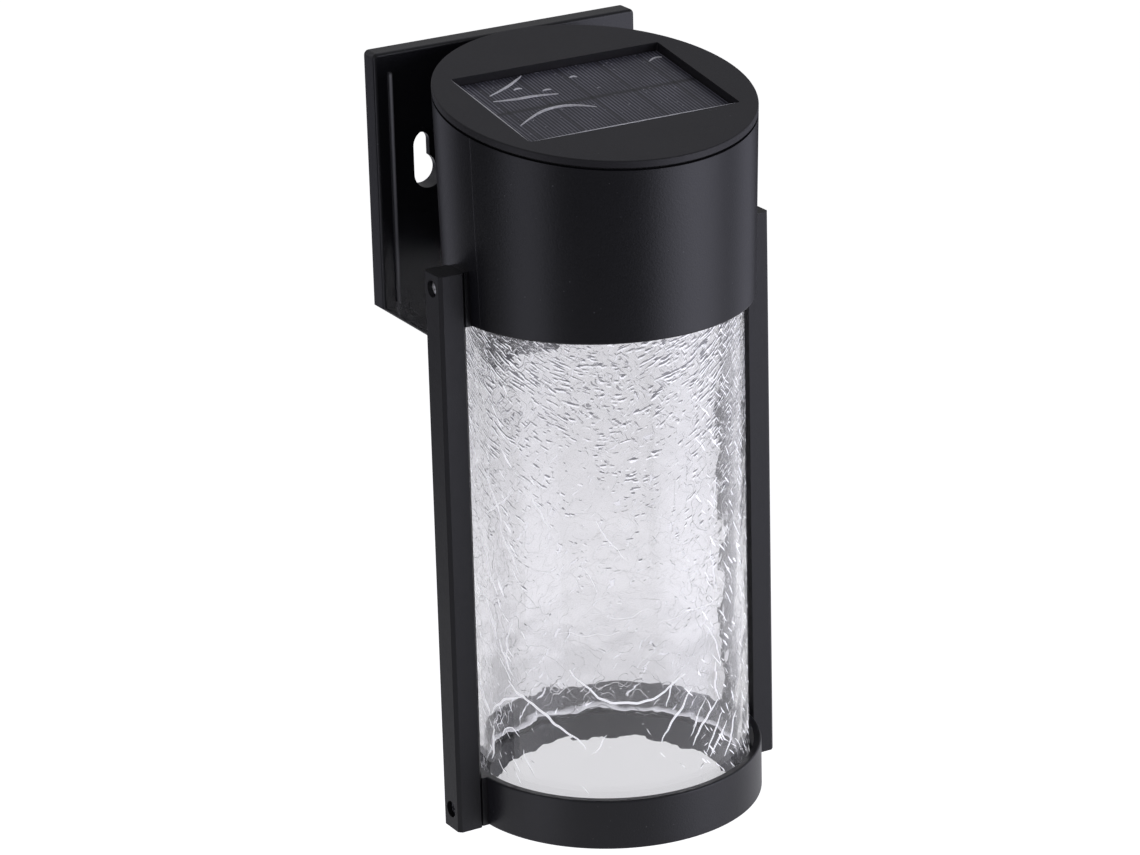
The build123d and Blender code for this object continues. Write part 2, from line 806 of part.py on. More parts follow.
# Motion sensor: an upright board with a screening can, held in the guides
with BuildPart() as motion_sensor:
    sensor_face = Plane(
        origin=(0, axis_y + sensor_y + sensor_thickness / 2, chamber_z), x_dir=(1, 0, 0), z_dir=(0, -1, 0)
    )
    with BuildSketch(sensor_face):
        Rectangle(sensor_width, sensor_height, align=(Align.CENTER, Align.MIN))
    extrude(amount=sensor_thickness)
    with BuildSketch(sensor_face.offset(sensor_thickness)):
        with Locations((0, sensor_height / 2)):
            Rectangle(sensor_can_width, sensor_can_height)
    extrude(amount=sensor_can_thickness)
save(motion_sensor, "motion_sensor")

# Switch on the edge of the control board, its plunger and the button that presses it
switch_plane = Plane(origin=(switch_front_x, axis_y + button_y, switch_z), x_dir=(0, 1, 0), z_dir=(1, 0, 0))
with BuildPart() as switch_body:
    with BuildSketch(switch_plane):
        Rectangle(switch_size, switch_size)
    extrude(amount=-switch_depth)
    with BuildSketch(switch_plane):
        Circle(plunger_r + plunger_clearance)
    extrude(amount=-(plunger_travel + switch_depth / 3), mode=Mode.SUBTRACT)
save(switch_body, "switch_body")

with BuildPart() as switch_plunger:
    with BuildSketch(switch_plane.offset(plunger_reach)):
        Circle(plunger_r)
    extrude(amount=-(plunger_reach + switch_depth / 3))
save(switch_plunger, "switch_plunger")

with BuildPart() as mode_button:
    with BuildSketch(button_plane.offset(plunger_front_x - button_inner_x)):
        Circle(button_stem_r)
    extrude(amount=button_inner_x - button_gap - plunger_front_x)
    with BuildSketch(button_plane.offset(-button_gap)):
        Circle(button_flange_r)
    extrude(amount=-button_flange)
    with BuildSketch(button_plane.offset(-button_gap)):
        Circle(button_r)
    extrude(amount=button_face_x - button_inner_x + button_gap)
    fillet(mode_button.faces().sort_by(Axis.X)[-1].edges(), button_edge_r)
save(mode_button, "mode_button")

with BuildPart() as button_seal:
    with BuildSketch(button_plane.offset(button_guide - button_seat_depth)):
        Circle(button_seal_r)
        Circle(button_r + button_gap, mode=Mode.SUBTRACT)
    extrude(amount=button_seal_thickness)
save(button_seal, "button_seal")

# Socket on the control board, and the plug and lead that leave with the lid
with BuildPart() as solar_socket:
    with BuildSketch(level(board_top_z)):
        with Locations((socket_x, socket_y)):
            Rectangle(socket_width, socket_length)
    extrude(amount=socket_height)
    with BuildSketch(level(board_top_z + socket_height - plug_grip - plug_clearance)):
        with Locations((socket_x, socket_y)):
            Rectangle(socket_width - 2 * socket_wall, socket_length - 2 * socket_wall)
    extrude(amount=plug_grip + plug_clearance + overrun, mode=Mode.SUBTRACT)
save(solar_socket, "solar_socket")

plug_top_z = board_top_z + socket_height + plug_head
with BuildPart() as solar_plug:
    with BuildSketch(level(board_top_z + socket_height - plug_grip)):
        with Locations((socket_x, socket_y)):
            Rectangle(
                socket_width - 2 * (socket_wall + plug_clearance),
                socket_length - 2 * (socket_wall + plug_clearance),
            )
    extrude(amount=plug_grip + plug_head)
save(solar_plug, "solar_plug")

# Two wires that rise from the plug to the underside of the panel
panel_under_z = lid_z + socket_y * math.tan(slope) - recess_drop / math.cos(slope)
wire_top_z = panel_under_z - (wire_pitch + wire_r) * math.tan(slope)
wire_turn_z = plug_top_z + (wire_top_z - plug_top_z) * lead_rise_share
with BuildPart() as solar_lead:
    for row in sides:
        wire_y = axis_y + socket_y + row * wire_pitch / 2
        with BuildLine():
            FilletPolyline(
                (socket_x, wire_y, plug_top_z),
                (socket_x, wire_y, wire_turn_z - wire_rise / 2),
                (0, wire_y, wire_turn_z + wire_rise / 2),
                (0, wire_y, wire_top_z),
                radius=wire_bend_r,
            )
        with BuildSketch(Plane(origin=(socket_x, wire_y, plug_top_z), z_dir=(0, 0, 1))):
            Circle(wire_r)
        sweep()
save(solar_lead, "solar_lead")
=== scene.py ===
import math

import bmesh
import bpy
from mathutils import Matrix, Vector, noise


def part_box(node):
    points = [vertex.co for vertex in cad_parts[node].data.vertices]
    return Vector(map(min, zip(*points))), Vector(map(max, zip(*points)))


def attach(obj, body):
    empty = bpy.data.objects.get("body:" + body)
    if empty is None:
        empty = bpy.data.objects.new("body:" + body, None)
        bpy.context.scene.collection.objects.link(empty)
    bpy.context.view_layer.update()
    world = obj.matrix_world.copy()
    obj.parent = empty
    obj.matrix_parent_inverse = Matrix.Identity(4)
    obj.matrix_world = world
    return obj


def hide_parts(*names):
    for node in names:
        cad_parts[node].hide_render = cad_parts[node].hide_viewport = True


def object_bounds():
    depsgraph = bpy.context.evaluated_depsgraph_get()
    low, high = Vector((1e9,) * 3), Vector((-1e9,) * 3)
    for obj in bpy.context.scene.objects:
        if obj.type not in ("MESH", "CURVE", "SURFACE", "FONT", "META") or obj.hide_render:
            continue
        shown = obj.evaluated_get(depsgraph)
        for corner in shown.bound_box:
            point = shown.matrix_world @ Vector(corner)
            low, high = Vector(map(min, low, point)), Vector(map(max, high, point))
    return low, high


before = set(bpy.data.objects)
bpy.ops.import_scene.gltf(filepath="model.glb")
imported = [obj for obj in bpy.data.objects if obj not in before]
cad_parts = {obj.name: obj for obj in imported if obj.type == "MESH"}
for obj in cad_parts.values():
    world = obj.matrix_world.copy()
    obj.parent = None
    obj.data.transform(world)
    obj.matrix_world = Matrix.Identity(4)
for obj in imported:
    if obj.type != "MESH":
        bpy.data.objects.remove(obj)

bl_info = {
    "name": "Solar Wall Light Looks",
    "version": (1, 0, 0),
    "blender": (4, 5, 0),
    "location": "View3D > Sidebar > Wall Light",
    "description": "Finishes, crackle glass, solar cells and studio for a solar wall light",
    "category": "Object",
}

CAD_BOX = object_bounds()
GLASS_LOW, GLASS_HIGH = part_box("glass_tube")
GLASS_RADIUS = (GLASS_HIGH.x - GLASS_LOW.x) / 2
LAMP_AXIS = Vector(((GLASS_LOW.x + GLASS_HIGH.x) / 2, (GLASS_LOW.y + GLASS_HIGH.y) / 2, 0))
UP = Vector((0, 0, 1))

LID_SLOPE = math.radians(9.5)
PANEL_THICKNESS = 0.0017
# Colour of the specks of dust, also used for the painted highlights on the mould line and on the
# wall plate's raised line
DUST_AND_HIGHLIGHT_COLOUR = (0.12, 0.12, 0.13)

# The painted highlight along the wall plate's raised line: how far from the wall it lies, the
# heights over which it grows brighter, the heights over which it ends, and its width
HIGHLIGHT_OUT = (0.0062, 0.0068)
HIGHLIGHT_RISE = (-0.070, 0.030)
HIGHLIGHT_END = (0.0325, 0.034)
HIGHLIGHT_WIDTH = 0.0009

# How far left of the front the crackle has its middle, as an angle
CRACKLE_MIDDLE = 0.5

# The glass tube's mesh: steps round the axis, cuts up its height, steps round each rim corner and
# the height at each end that stays even. Edges of the outline taller than TALL_EDGE are cut up,
# and points closer than SAME_POINT are made one.
TURNING_STEPS = 180
TUBE_ROWS = 110
RIM_STEPS = 4
EVEN_RIM = 0.002
TALL_EDGE = 0.02
SAME_POINT = 0.000005

# Each long crack of the glass: start angle round the tube, height over the foot, heading, length,
# bend over its length, share of the full width. Angles are in degrees, lengths in millimetres.
# A crack is drawn in strides, and its heading wavers by up to so many degrees.
CRACK_STRIDE = 0.0014
CRACK_WAVER = 40
LONG_CRACKS = (
    (-46, 50, -60, 44, 108, 1.0), (-75, 42, -30, 34, -10, 1.0), (-68, 38, 200, 18, 45, 0.9),
    (-96, 36, -60, 11, 0, 1.0), (-86, 24, 260, 12, 0, 0.9), (5, 40, 230, 20, 10, 0.9),
    (12, 35, 228, 10, 10, 0.5), (19, 33, 222, 17, 10, 0.9), (22, 28, 228, 14, 5, 0.7),
    (25, 24, 235, 13, 5, 0.8), (33, 25, 240, 15, 0, 0.8), (-4, 44, 250, 9, 10, 0.6),
    (-93, 70, -60, 18, -10, 0.9), (-80, 55, -65, 12, 15, 0.7), (-90, 86, -70, 16, 10, 0.8),
    (-72, 62, -110, 12, 10, 0.5), (-77, 94, -60, 17, 0, 0.6), (-34, 100, -48, 15, 10, 0.35),
    (-62, 108, -62, 14, 5, 0.5), (-90, 92, 30, 22, 15, 0.4), (-9, 65, 4, 22, 8, 0.2),
    (-50, 62, 8, 20, -6, 0.2), (-39, 84, -55, 9, -25, 0.25), (-14, 70, 195, 12, -30, 0.2),
    (-38, 22, 40, 9, 20, 0.5), (-68, 20, -65, 9, 0, 0.5), (-80, 22, 80, 8, -120, 0.6),
    (4, 24, 60, 7, 40, 0.5), (12, 60, -70, 18, -10, 0.6), (16, 84, -80, 15, 10, 0.6),
    (-96, 118, -72, 14, 5, 0.7), (18, 46, -95, 14, 25, 0.7), (20, 108, -85, 12, -20, 0.5),
    (-84, 108, -65, 15, 0, 0.6),
)

# Each crease of the clear film, drawn as a whitish strand that paints its highlight: points across
# and up the panel, in millimetres from its middle
FILM_CREASES = (
    ((-12.5, 23.5), (-16.5, 20.5), (-22, 17), (-29, 14)),
    ((-30, 10), (-22.5, 8.5), (-17, 9), (-8.5, 7.5)),
    ((-31, -8.5), (-23, -3), (-15, -0.5), (-7, -2), (-2.5, -5.5)),
    ((0.5, 16.5), (2.5, 17.5), (3, 16)),
    ((30, 17.5), (33, 20), (35.5, 19)),
    ((-20, 15), (-18.5, 16), (-17, 15)),
    ((-12, 11), (-10.5, 12), (-9, 11)),
)

# The painted highlight of the recess's rounded top edge, drawn as a whitish strand: how far it
# lies past the panel across and along and over the panel, its width as a share of a crease's,
# and the number of parts that it is drawn in
RECESS_HIGHLIGHT_ACROSS = 0.0003
RECESS_HIGHLIGHT_ALONG = 0.0005
RECESS_HIGHLIGHT_RISE = 0.0026
RECESS_HIGHLIGHT_SHARE = 0.45
RECESS_HIGHLIGHT_PARTS = 8

# The cell's sleeve ends between these distances from the end of the battery
BARE_END = (0.006, 0.0055)

# Each softbox: name, azimuth, elevation, distance, width, power, spread. Angles are in degrees,
# lengths in metres, power in watts.
SOFTBOX_HEIGHT = 0.9
SOFTBOX_COLOUR = (0.85, 0.85, 1.0)
SOFTBOXES = (
    ("right_softbox", 41, -4, 0.65, 0.80, 1.28, 78),
    ("side_softbox", 96, -4, 0.65, 0.45, 0.25, 90),
    ("left_softbox", -82, -4, 0.65, 0.36, 0.30, 90),
    ("back_softbox", -168, 0, 0.8, 0.6, 0.55, 180),
    ("top_softbox", 150, 58, 1.2, 0.9, 1.0, 180),
)

# Half the floor's width, and the distances from the lamp's axis over which its painted shadow
# under the light and its painted pool of light near the light fade out
FLOOR_REACH = 6
FLOOR_SHADOW_REACH = (0.60, 0.70)
FLOOR_NEAR = (0.70, 1.00)

CAMERA_AIM = Vector((0, -0.0615, -0.0865))
SENSOR_WIDTH = 36


# Settings that a user would change


class ShellSettings(bpy.types.PropertyGroup):
    colour: bpy.props.FloatVectorProperty(
        name="Shell colour", description="Base colour of the moulded black parts",
        size=3, subtype="COLOR", min=0, max=1, default=(0.0075, 0.0074, 0.0098))
    lid_colour: bpy.props.FloatVectorProperty(
        name="Lid colour", description="Base colour of the matt lid",
        size=3, subtype="COLOR", min=0, max=1, default=(0.0105, 0.0097, 0.0125))
    ring_colour: bpy.props.FloatVectorProperty(
        name="Ring colour", description="Base colour of the ring at the foot",
        size=3, subtype="COLOR", min=0, max=1, default=(0.0145, 0.0143, 0.0175))
    bar_colour: bpy.props.FloatVectorProperty(
        name="Bar colour", description="Base colour of the painted side bars",
        size=3, subtype="COLOR", min=0, max=1, default=(0.0060, 0.0058, 0.0072))
    grain_size: bpy.props.FloatProperty(
        name="Grain size", description="Width of one grain of the moulded texture",
        unit="LENGTH", min=0.0001, max=0.005, default=0.0006)
    grain_depth: bpy.props.FloatProperty(
        name="Grain depth", description="Height of the moulded texture",
        unit="LENGTH", min=0, max=0.001, default=0.00005)
    seam_angle: bpy.props.FloatProperty(
        name="Mould line", description="Angle of the head's mould lines from the front",
        subtype="ANGLE", min=0, max=math.pi, default=math.radians(79.5))
    # Where the wall plate's raised line lies, which is given a painted highlight
    highlight_inset: bpy.props.FloatProperty(
        name="Worn line", description="From the wall plate's edge to the worn raised line",
        unit="LENGTH", min=0, max=0.02, default=0.00515)


class GlassSettings(bpy.types.PropertyGroup):
    tint: bpy.props.FloatVectorProperty(
        name="Glass tint", description="Colour of clear glass between the cracks",
        size=3, subtype="COLOR", min=0, max=1, default=(0.955, 0.95, 0.972))
    wall: bpy.props.FloatProperty(
        name="Wall", description="Thickness of the glass wall",
        unit="LENGTH", min=0.001, max=0.01, default=0.003)
    rim_radius: bpy.props.FloatProperty(
        name="Rim radius", description="Rounding of the fire-polished rims",
        unit="LENGTH", min=0.0002, max=0.0014, default=0.0009)
    ripple: bpy.props.FloatProperty(
        name="Ripple", description="Unevenness of the inner face",
        unit="LENGTH", min=0, max=0.001, default=0.00013)
    dash_length: bpy.props.FloatProperty(
        name="Dash length", description="Length of the short level dashes of the crackle",
        unit="LENGTH", min=0.001, max=0.02, default=0.0034)
    bow: bpy.props.FloatProperty(
        name="Bow", description="How strongly the rows of dashes bow down at the front, per metre",
        min=0, max=40, default=15.0)
    row_pitch: bpy.props.FloatProperty(
        name="Row pitch", description="Spacing of the rows of dashes",
        unit="LENGTH", min=0.0005, max=0.01, default=0.00145)
    crack_width: bpy.props.FloatProperty(
        name="Crack width", description="Width of the long bright cracks",
        unit="LENGTH", min=0.0001, max=0.002, default=0.0008)


class PanelSettings(bpy.types.PropertyGroup):
    cell_colour: bpy.props.FloatVectorProperty(
        name="Cell colour", description="Colour of the solar cells",
        size=3, subtype="COLOR", min=0, max=1, default=(0.024, 0.024, 0.035))
    cell_count: bpy.props.IntProperty(
        name="Cells", description="Number of cells side by side", min=1, max=12, default=5)
    finger_pitch: bpy.props.FloatProperty(
        name="Finger pitch", description="Spacing of the fine light lines on the cells",
        unit="LENGTH", min=0.0004, max=0.005, default=0.00122)
    crease_width: bpy.props.FloatProperty(
        name="Crease width", description="Width of the creases in the clear film",
        unit="LENGTH", min=0.0001, max=0.002, default=0.0012)


class StageSettings(bpy.types.PropertyGroup):
    azimuth: bpy.props.FloatProperty(
        name="Azimuth", description="Camera direction round the light",
        subtype="ANGLE", default=math.radians(-29.73))
    elevation: bpy.props.FloatProperty(
        name="Elevation", description="Camera height as an angle",
        subtype="ANGLE", default=math.radians(20.18))
    roll: bpy.props.FloatProperty(
        name="Roll", description="Tilt of the picture",
        subtype="ANGLE", default=math.radians(-1.536))
    distance: bpy.props.FloatProperty(
        name="Distance", description="From the aim point to the camera",
        unit="LENGTH", min=0.1, default=1.434)
    lens: bpy.props.FloatProperty(
        name="Lens", description="Focal length of the camera",
        unit="CAMERA", min=10, max=400, default=144.06)
    aside: bpy.props.FloatVectorProperty(
        name="Aside", description="Camera shift to its right and up",
        size=2, unit="LENGTH", default=(-0.0107, 0.00978))
    floor_drop: bpy.props.FloatProperty(
        name="Floor drop", description="Gap between the wall light and the floor",
        unit="LENGTH", min=0, default=0.22)


# Node materials


class Value:
    """A number that varies over a surface. Arithmetic on it adds Math nodes."""

    def __init__(self, finish, socket):
        self.finish = finish
        self.socket = socket

    def __add__(self, other):
        return self.finish.maths("ADD", self, other)

    def __radd__(self, other):
        return self.finish.maths("ADD", other, self)

    def __sub__(self, other):
        return self.finish.maths("SUBTRACT", self, other)

    def __rsub__(self, other):
        return self.finish.maths("SUBTRACT", other, self)

    def __mul__(self, other):
        return self.finish.maths("MULTIPLY", self, other)

    def __rmul__(self, other):
        return self.finish.maths("MULTIPLY", other, self)

    def __truediv__(self, other):
        return self.finish.maths("DIVIDE", self, other)


class Finish:
    """The nodes of one material or world, built one by one."""

    def __init__(self, owner):
        self.owner = owner
        self.owner.use_nodes = True
        self.tree = self.owner.node_tree
        self.tree.nodes.clear()

    def node(self, kind, settings=None, inputs=None, output=0):
        """Adds a node, makes its settings, fills its sockets and returns one output."""
        made = self.tree.nodes.new(kind)
        for key, value in (settings or {}).items():
            setattr(made, key, value)
        for key, value in (inputs or {}).items():
            if isinstance(value, Value):
                self.tree.links.new(value.socket, made.inputs[key])
            else:
                made.inputs[key].default_value = value
        return Value(self, made.outputs[output]) if made.outputs else None

    def maths(self, operation, *values):
        return self.node("ShaderNodeMath", {"operation": operation}, dict(enumerate(values)))

    def clamped(self, value):
        return self.node("ShaderNodeClamp", None, {"Value": value})

    def place(self):
        """The point on the piece, in metres."""
        return self.node("ShaderNodeTexCoord", None, None, "Object")

    def mapped(self, point, location=(0, 0, 0), rotation=(0, 0, 0), scale=(1, 1, 1)):
        return self.node("ShaderNodeMapping", None, {
            "Vector": point, "Location": location, "Rotation": rotation, "Scale": scale})

    def from_axis(self, point, scale=(1, 1, 1)):
        """A point as seen from the foot of the lamp's axis."""
        return self.mapped(point, tuple(-c for c in LAMP_AXIS), scale=scale)

    def dot(self, point, way):
        """How far a point lies along a way of length 1."""
        return self.node("ShaderNodeVectorMath", {"operation": "DOT_PRODUCT"}, {
            0: point, 1: tuple(way)}, "Value")

    def split(self, point):
        """The three parts of a point."""
        return [self.node("ShaderNodeSeparateXYZ", None, {0: point}, axis) for axis in "XYZ"]

    def noise(self, point, size, detail=2.0, roughness=0.5):
        """Smooth noise from 0 to 1 whose features are about one size wide."""
        return self.node("ShaderNodeTexNoise", None, {
            "Vector": point, "Scale": 1 / size, "Detail": detail, "Roughness": roughness}, "Fac")

    def shaken(self, point, size, amount):
        """A point moved about by noise, so that straight patterns wander."""
        swirl = self.node("ShaderNodeTexNoise", None, {
            "Vector": point, "Scale": 1 / size, "Detail": 2.0}, "Color")
        centred = self.node("ShaderNodeVectorMath", {"operation": "SUBTRACT"}, {
            0: swirl, 1: (0.5, 0.5, 0.5)})
        scaled = self.node("ShaderNodeVectorMath", {"operation": "SCALE"}, {
            0: centred, "Scale": amount})
        return self.node("ShaderNodeVectorMath", {"operation": "ADD"}, {0: point, 1: scaled})

    def edges(self, point, size):
        """Distance to the nearest border of random cells, in cell sizes."""
        return self.node("ShaderNodeTexVoronoi", {"feature": "DISTANCE_TO_EDGE"}, {
            "Vector": point, "Scale": 1 / size}, "Distance")

    def step(self, value, low, high):
        """0 below low, 1 above high, smooth between."""
        return self.node("ShaderNodeMapRange", {"interpolation_type": "SMOOTHSTEP"}, {
            "Value": value, "From Min": low, "From Max": high})

    def ridge(self, value, width):
        """1 where the value is 0, fading to 0 at a width."""
        return 1 - self.step(self.maths("ABSOLUTE", value), 0, width)

    def blend(self, share, first, second):
        """Mixes two colours by a share. A share over 1 goes past the second colour."""
        made = self.tree.nodes.new("ShaderNodeMix")
        made.data_type = "RGBA"
        made.clamp_factor = False
        factor, from_colour, to_colour = made.inputs[0], made.inputs[6], made.inputs[7]
        for socket, value in ((factor, share), (from_colour, first), (to_colour, second)):
            if isinstance(value, Value):
                self.tree.links.new(value.socket, socket)
            else:
                socket.default_value = value if isinstance(value, float) else (*value, 1)
        return Value(self, made.outputs[2])

    def bump(self, height, distance, strength=1.0, under=None):
        inputs = {"Height": height, "Distance": distance, "Strength": strength}
        if under is not None:
            inputs["Normal"] = under
        return self.node("ShaderNodeBump", None, inputs)

    def ray(self, kind):
        """1 for rays of one kind, otherwise 0."""
        return self.node("ShaderNodeLightPath", None, None, kind)

    def principled(self, **sockets):
        """A Principled shader, given its sockets by name."""
        named = {key.replace("_", " "): value for key, value in sockets.items()}
        for key, value in named.items():
            if isinstance(value, (tuple, list)) and len(value) == 3:
                named[key] = (*value, 1)
        return self.node("ShaderNodeBsdfPrincipled", None, named)

    def surface(self, **sockets):
        """Closes the material with a Principled shader."""
        return self.close(self.principled(**sockets))

    def close(self, shader, kind="ShaderNodeOutputMaterial"):
        self.node(kind, None, {"Surface": shader})
        return self.owner


def new_finish(name):
    return Finish(bpy.data.materials.new(name))


def shade(colour, factor):
    return tuple(part * factor for part in colour)


def moulded_plastic(name, colour, roughness, grain_size, grain_depth, streak=0.0,
                    seam_angle=None, highlight_x=None):
    """Satin moulded plastic with fine grain, a faint cloudy tone and specks of dust.

    If asked, it has a mould line with a faint painted highlight, or a painted highlight along an
    upright raised line, on each side.
    """
    finish = new_finish(name)
    place = finish.place()
    grain = finish.noise(place, grain_size, 3.0, 0.6)
    cloud = finish.noise(place, 0.02, 3.0)
    flow = finish.noise(finish.mapped(place, scale=(1, 1, 0.15)), 0.006, 2.0)
    tone = finish.clamped(0.55 * cloud + 0.3 * grain + streak * flow)
    # Real specks of dust; the painted highlights of the mould line and the raised line are added to
    # this mask
    dust_and_highlight = 0.5 * finish.step(finish.noise(place, 0.0011, 1.0), 0.77, 0.82)
    relief = grain
    if seam_angle is not None:
        x, y, _ = finish.split(finish.from_axis(place))
        angle = finish.maths("ARCTAN2", x, 0 - y)
        seam = finish.ridge(finish.maths("ABSOLUTE", angle) - seam_angle, 0.007)
        # The mould line is painted a little lighter: a painted highlight
        dust_and_highlight = dust_and_highlight + 0.05 * seam
        relief = grain + seam
    # A painted highlight along the wall plate's raised line, growing brighter towards the top
    if highlight_x is not None:
        x, y, z = finish.split(place)
        front_face = finish.step(0 - y, *HIGHLIGHT_OUT)
        upwards = finish.step(z, *HIGHLIGHT_RISE) * (1 - finish.step(z, *HIGHLIGHT_END))
        line = finish.ridge(finish.maths("ABSOLUTE", x) - highlight_x, HIGHLIGHT_WIDTH)
        dust_and_highlight = dust_and_highlight + 4 * front_face * upwards * line
    base = finish.blend(tone, shade(colour, 0.78), shade(colour, 1.25))
    return finish.surface(
        Base_Color=finish.blend(dust_and_highlight, base, DUST_AND_HIGHLIGHT_COLOUR),
        Roughness=roughness - 0.06 + 0.12 * grain + 0.05 * cloud,
        Specular_IOR_Level=0.42,
        Normal=finish.bump(relief, grain_depth),
    )


def plain_rubber(name, colour):
    """Soft rubber with a fine powdery face."""
    finish = new_finish(name)
    powder = finish.noise(finish.place(), 0.0009, 4.0, 0.7)
    return finish.surface(
        Base_Color=finish.blend(powder, shade(colour, 0.8), shade(colour, 1.3)),
        Roughness=0.62 + 0.2 * powder,
        Specular_IOR_Level=0.3,
        Normal=finish.bump(powder, 0.00002),
    )


def bright_metal(name, colour, roughness, line_scale=(1, 1, 1), line_size=0.0003, dent=0.0):
    """Plated or brushed metal with fine lines, handling marks and, if asked, shallow dents."""
    finish = new_finish(name)
    place = finish.place()
    lines = finish.noise(finish.mapped(place, scale=line_scale), line_size, 2.0)
    marks = finish.noise(place, 0.002, 4.0, 0.7)
    dents = finish.bump(finish.noise(place, 0.0009, 1.0), dent) if dent else None
    return finish.surface(
        Base_Color=finish.blend(marks, shade(colour, 0.82), colour),
        Metallic=1.0,
        Roughness=roughness + 0.14 * lines + 0.08 * marks,
        Normal=finish.bump(lines, 0.00001, 1.0, dents),
    )


def painted_metal(name, colour, roughness, grain_size, grain_depth):
    """Satin paint over metal with a slight orange-peel."""
    finish = new_finish(name)
    place = finish.place()
    grain = finish.noise(place, grain_size, 2.0, 0.55)
    peel = finish.noise(place, 0.003, 2.0)
    return finish.surface(
        Base_Color=finish.blend(grain, shade(colour, 0.85), shade(colour, 1.2)),
        Roughness=roughness + 0.1 * grain + 0.06 * peel,
        Specular_IOR_Level=0.36,
        Normal=finish.bump(grain, grain_depth, 1.0, finish.bump(peel, 0.00002)),
    )


def streaks(finish, sheet, tilt, length, level, slenderness=4.5):
    """Short crisp dashes on a flat sheet of coordinates, along a tilt. A high level leaves few."""
    turned_sheet = finish.mapped(sheet, rotation=(0, 0, -tilt))
    peaks = finish.noise(finish.mapped(turned_sheet, scale=(1, slenderness, 1)), length, 1.0)
    return finish.step(peaks, level, level + 0.025)


def crackle_glass(settings):
    """Clear glass crazed with short dashes in shallow bows, slanting hairlines and small glints."""
    finish = new_finish("crackle_glass")
    place = finish.place()
    low, high = GLASS_LOW.z, GLASS_HIGH.z
    x, y, z = finish.split(finish.from_axis(place))
    rise = (z - low) / (high - low)
    out = finish.maths("SQRT", x * x + y * y)
    outer = finish.step(
        out, GLASS_RADIUS - settings.wall * 0.6, GLASS_RADIUS - settings.wall * 0.4)

    # The outer face unrolled, once with bowed rows and once plain
    around = (finish.maths("ARCTAN2", x, 0 - y) + CRACKLE_MIDDLE) * GLASS_RADIUS
    sideways = finish.maths("ABSOLUTE", around)
    sag = settings.bow * around * around / (1 + 18 * sideways)
    bowed = finish.node("ShaderNodeCombineXYZ", None, {0: around, 1: z - sag})
    plain = finish.node("ShaderNodeCombineXYZ", None, {0: around, 1: z})
    bowed, plain = (finish.shaken(sheet, 0.02, 0.007) for sheet in (bowed, plain))

    # Dashes stand in rows, and crowd together towards the top, at the sides and in patches
    clusters = finish.noise(place, 0.010, 3.0)
    density = finish.step(rise, 0.28, 0.95) * 0.17 + (clusters - 0.5) * 0.36
    sides = finish.step(sideways, 0.014, 0.036)
    row = finish.maths("PINGPONG", finish.split(bowed)[1], settings.row_pitch / 2)
    row = row * (1 / settings.row_pitch)
    rarity = 0.765 - density + 0.10 * row - 0.03 * sides
    length = settings.dash_length
    dashes = streaks(finish, bowed, 0, length, rarity)
    slants = streaks(finish, plain, 0.95, length, 0.87 - 0.05 * sides - 0.5 * density)
    # The crackle itself is real; the dark grey of its dashes and slants is painted shade
    dark = finish.clamped((dashes + slants) * outer)

    # Each dash has a painted highlight beside it as its partner, and the foot's rim is given a
    # painted highlight; these, the hairlines and the glints glow white instead of catching the
    # light
    beside = finish.mapped(bowed, (0.0002, 0.0006, 0))
    partner_highlights = streaks(finish, beside, 0, length, rarity)
    hairline_glints = streaks(finish, plain, -0.9, length * 2.4, 0.79 - 0.13 * sides, 9.0)
    glints = streaks(finish, bowed, 0.35, length * 0.5, 0.80 - 0.5 * density)
    foot = 0.4 * (1 - finish.step(z, low + 0.0009, low + 0.0019))
    lit = (hairline_glints + glints + 0.8 * partner_highlights) * 0.8 * outer * (1 - dark)
    bright = finish.clamped(lit + foot)

    # Faint waves and curved flow lines in the clear glass, except at the foot
    ripple = finish.noise(place, 0.0045, 1.0)
    curves = finish.ridge(finish.noise(place, 0.008, 1.0) - 0.5, 0.007)
    curves = curves * finish.step(rise, 0.18, 0.30)
    relief = finish.bump(ripple * 0.13 - 0.2 * curves * clusters - dark - 0.6 * bright, 0.0003)
    glass = finish.principled(
        Base_Color=finish.blend(dark, tuple(settings.tint), (0.14, 0.14, 0.16)),
        Roughness=0.02 + 0.1 * dark,
        IOR=1.5,
        Specular_IOR_Level=0.15,
        Transmission_Weight=0.955,
        Normal=relief,
    )
    # A faint white glow paints the highlights of the hairlines, glints, partners and foot rim
    painted_glint = finish.principled(
        Base_Color=(0.9, 0.9, 0.92),
        Roughness=0.3,
        Emission_Color=(0.9, 0.9, 0.95),
        Emission_Strength=0.85,
    )
    return finish.close(finish.node("ShaderNodeMixShader", None, {0: bright, 1: glass, 2: painted_glint}))


def crack_face():
    """Bright inner face of a crack, with a white glow that paints the light it throws back."""
    finish = new_finish("crack_face")
    flaw = finish.noise(finish.place(), 0.002, 3.0)
    return finish.surface(
        Base_Color=finish.blend(flaw, (0.80, 0.80, 0.82), (0.95, 0.95, 0.97)),
        Roughness=0.15 + 0.2 * flaw,
        Emission_Color=(0.9, 0.9, 0.95, 1),
        Emission_Strength=0.6,
    )


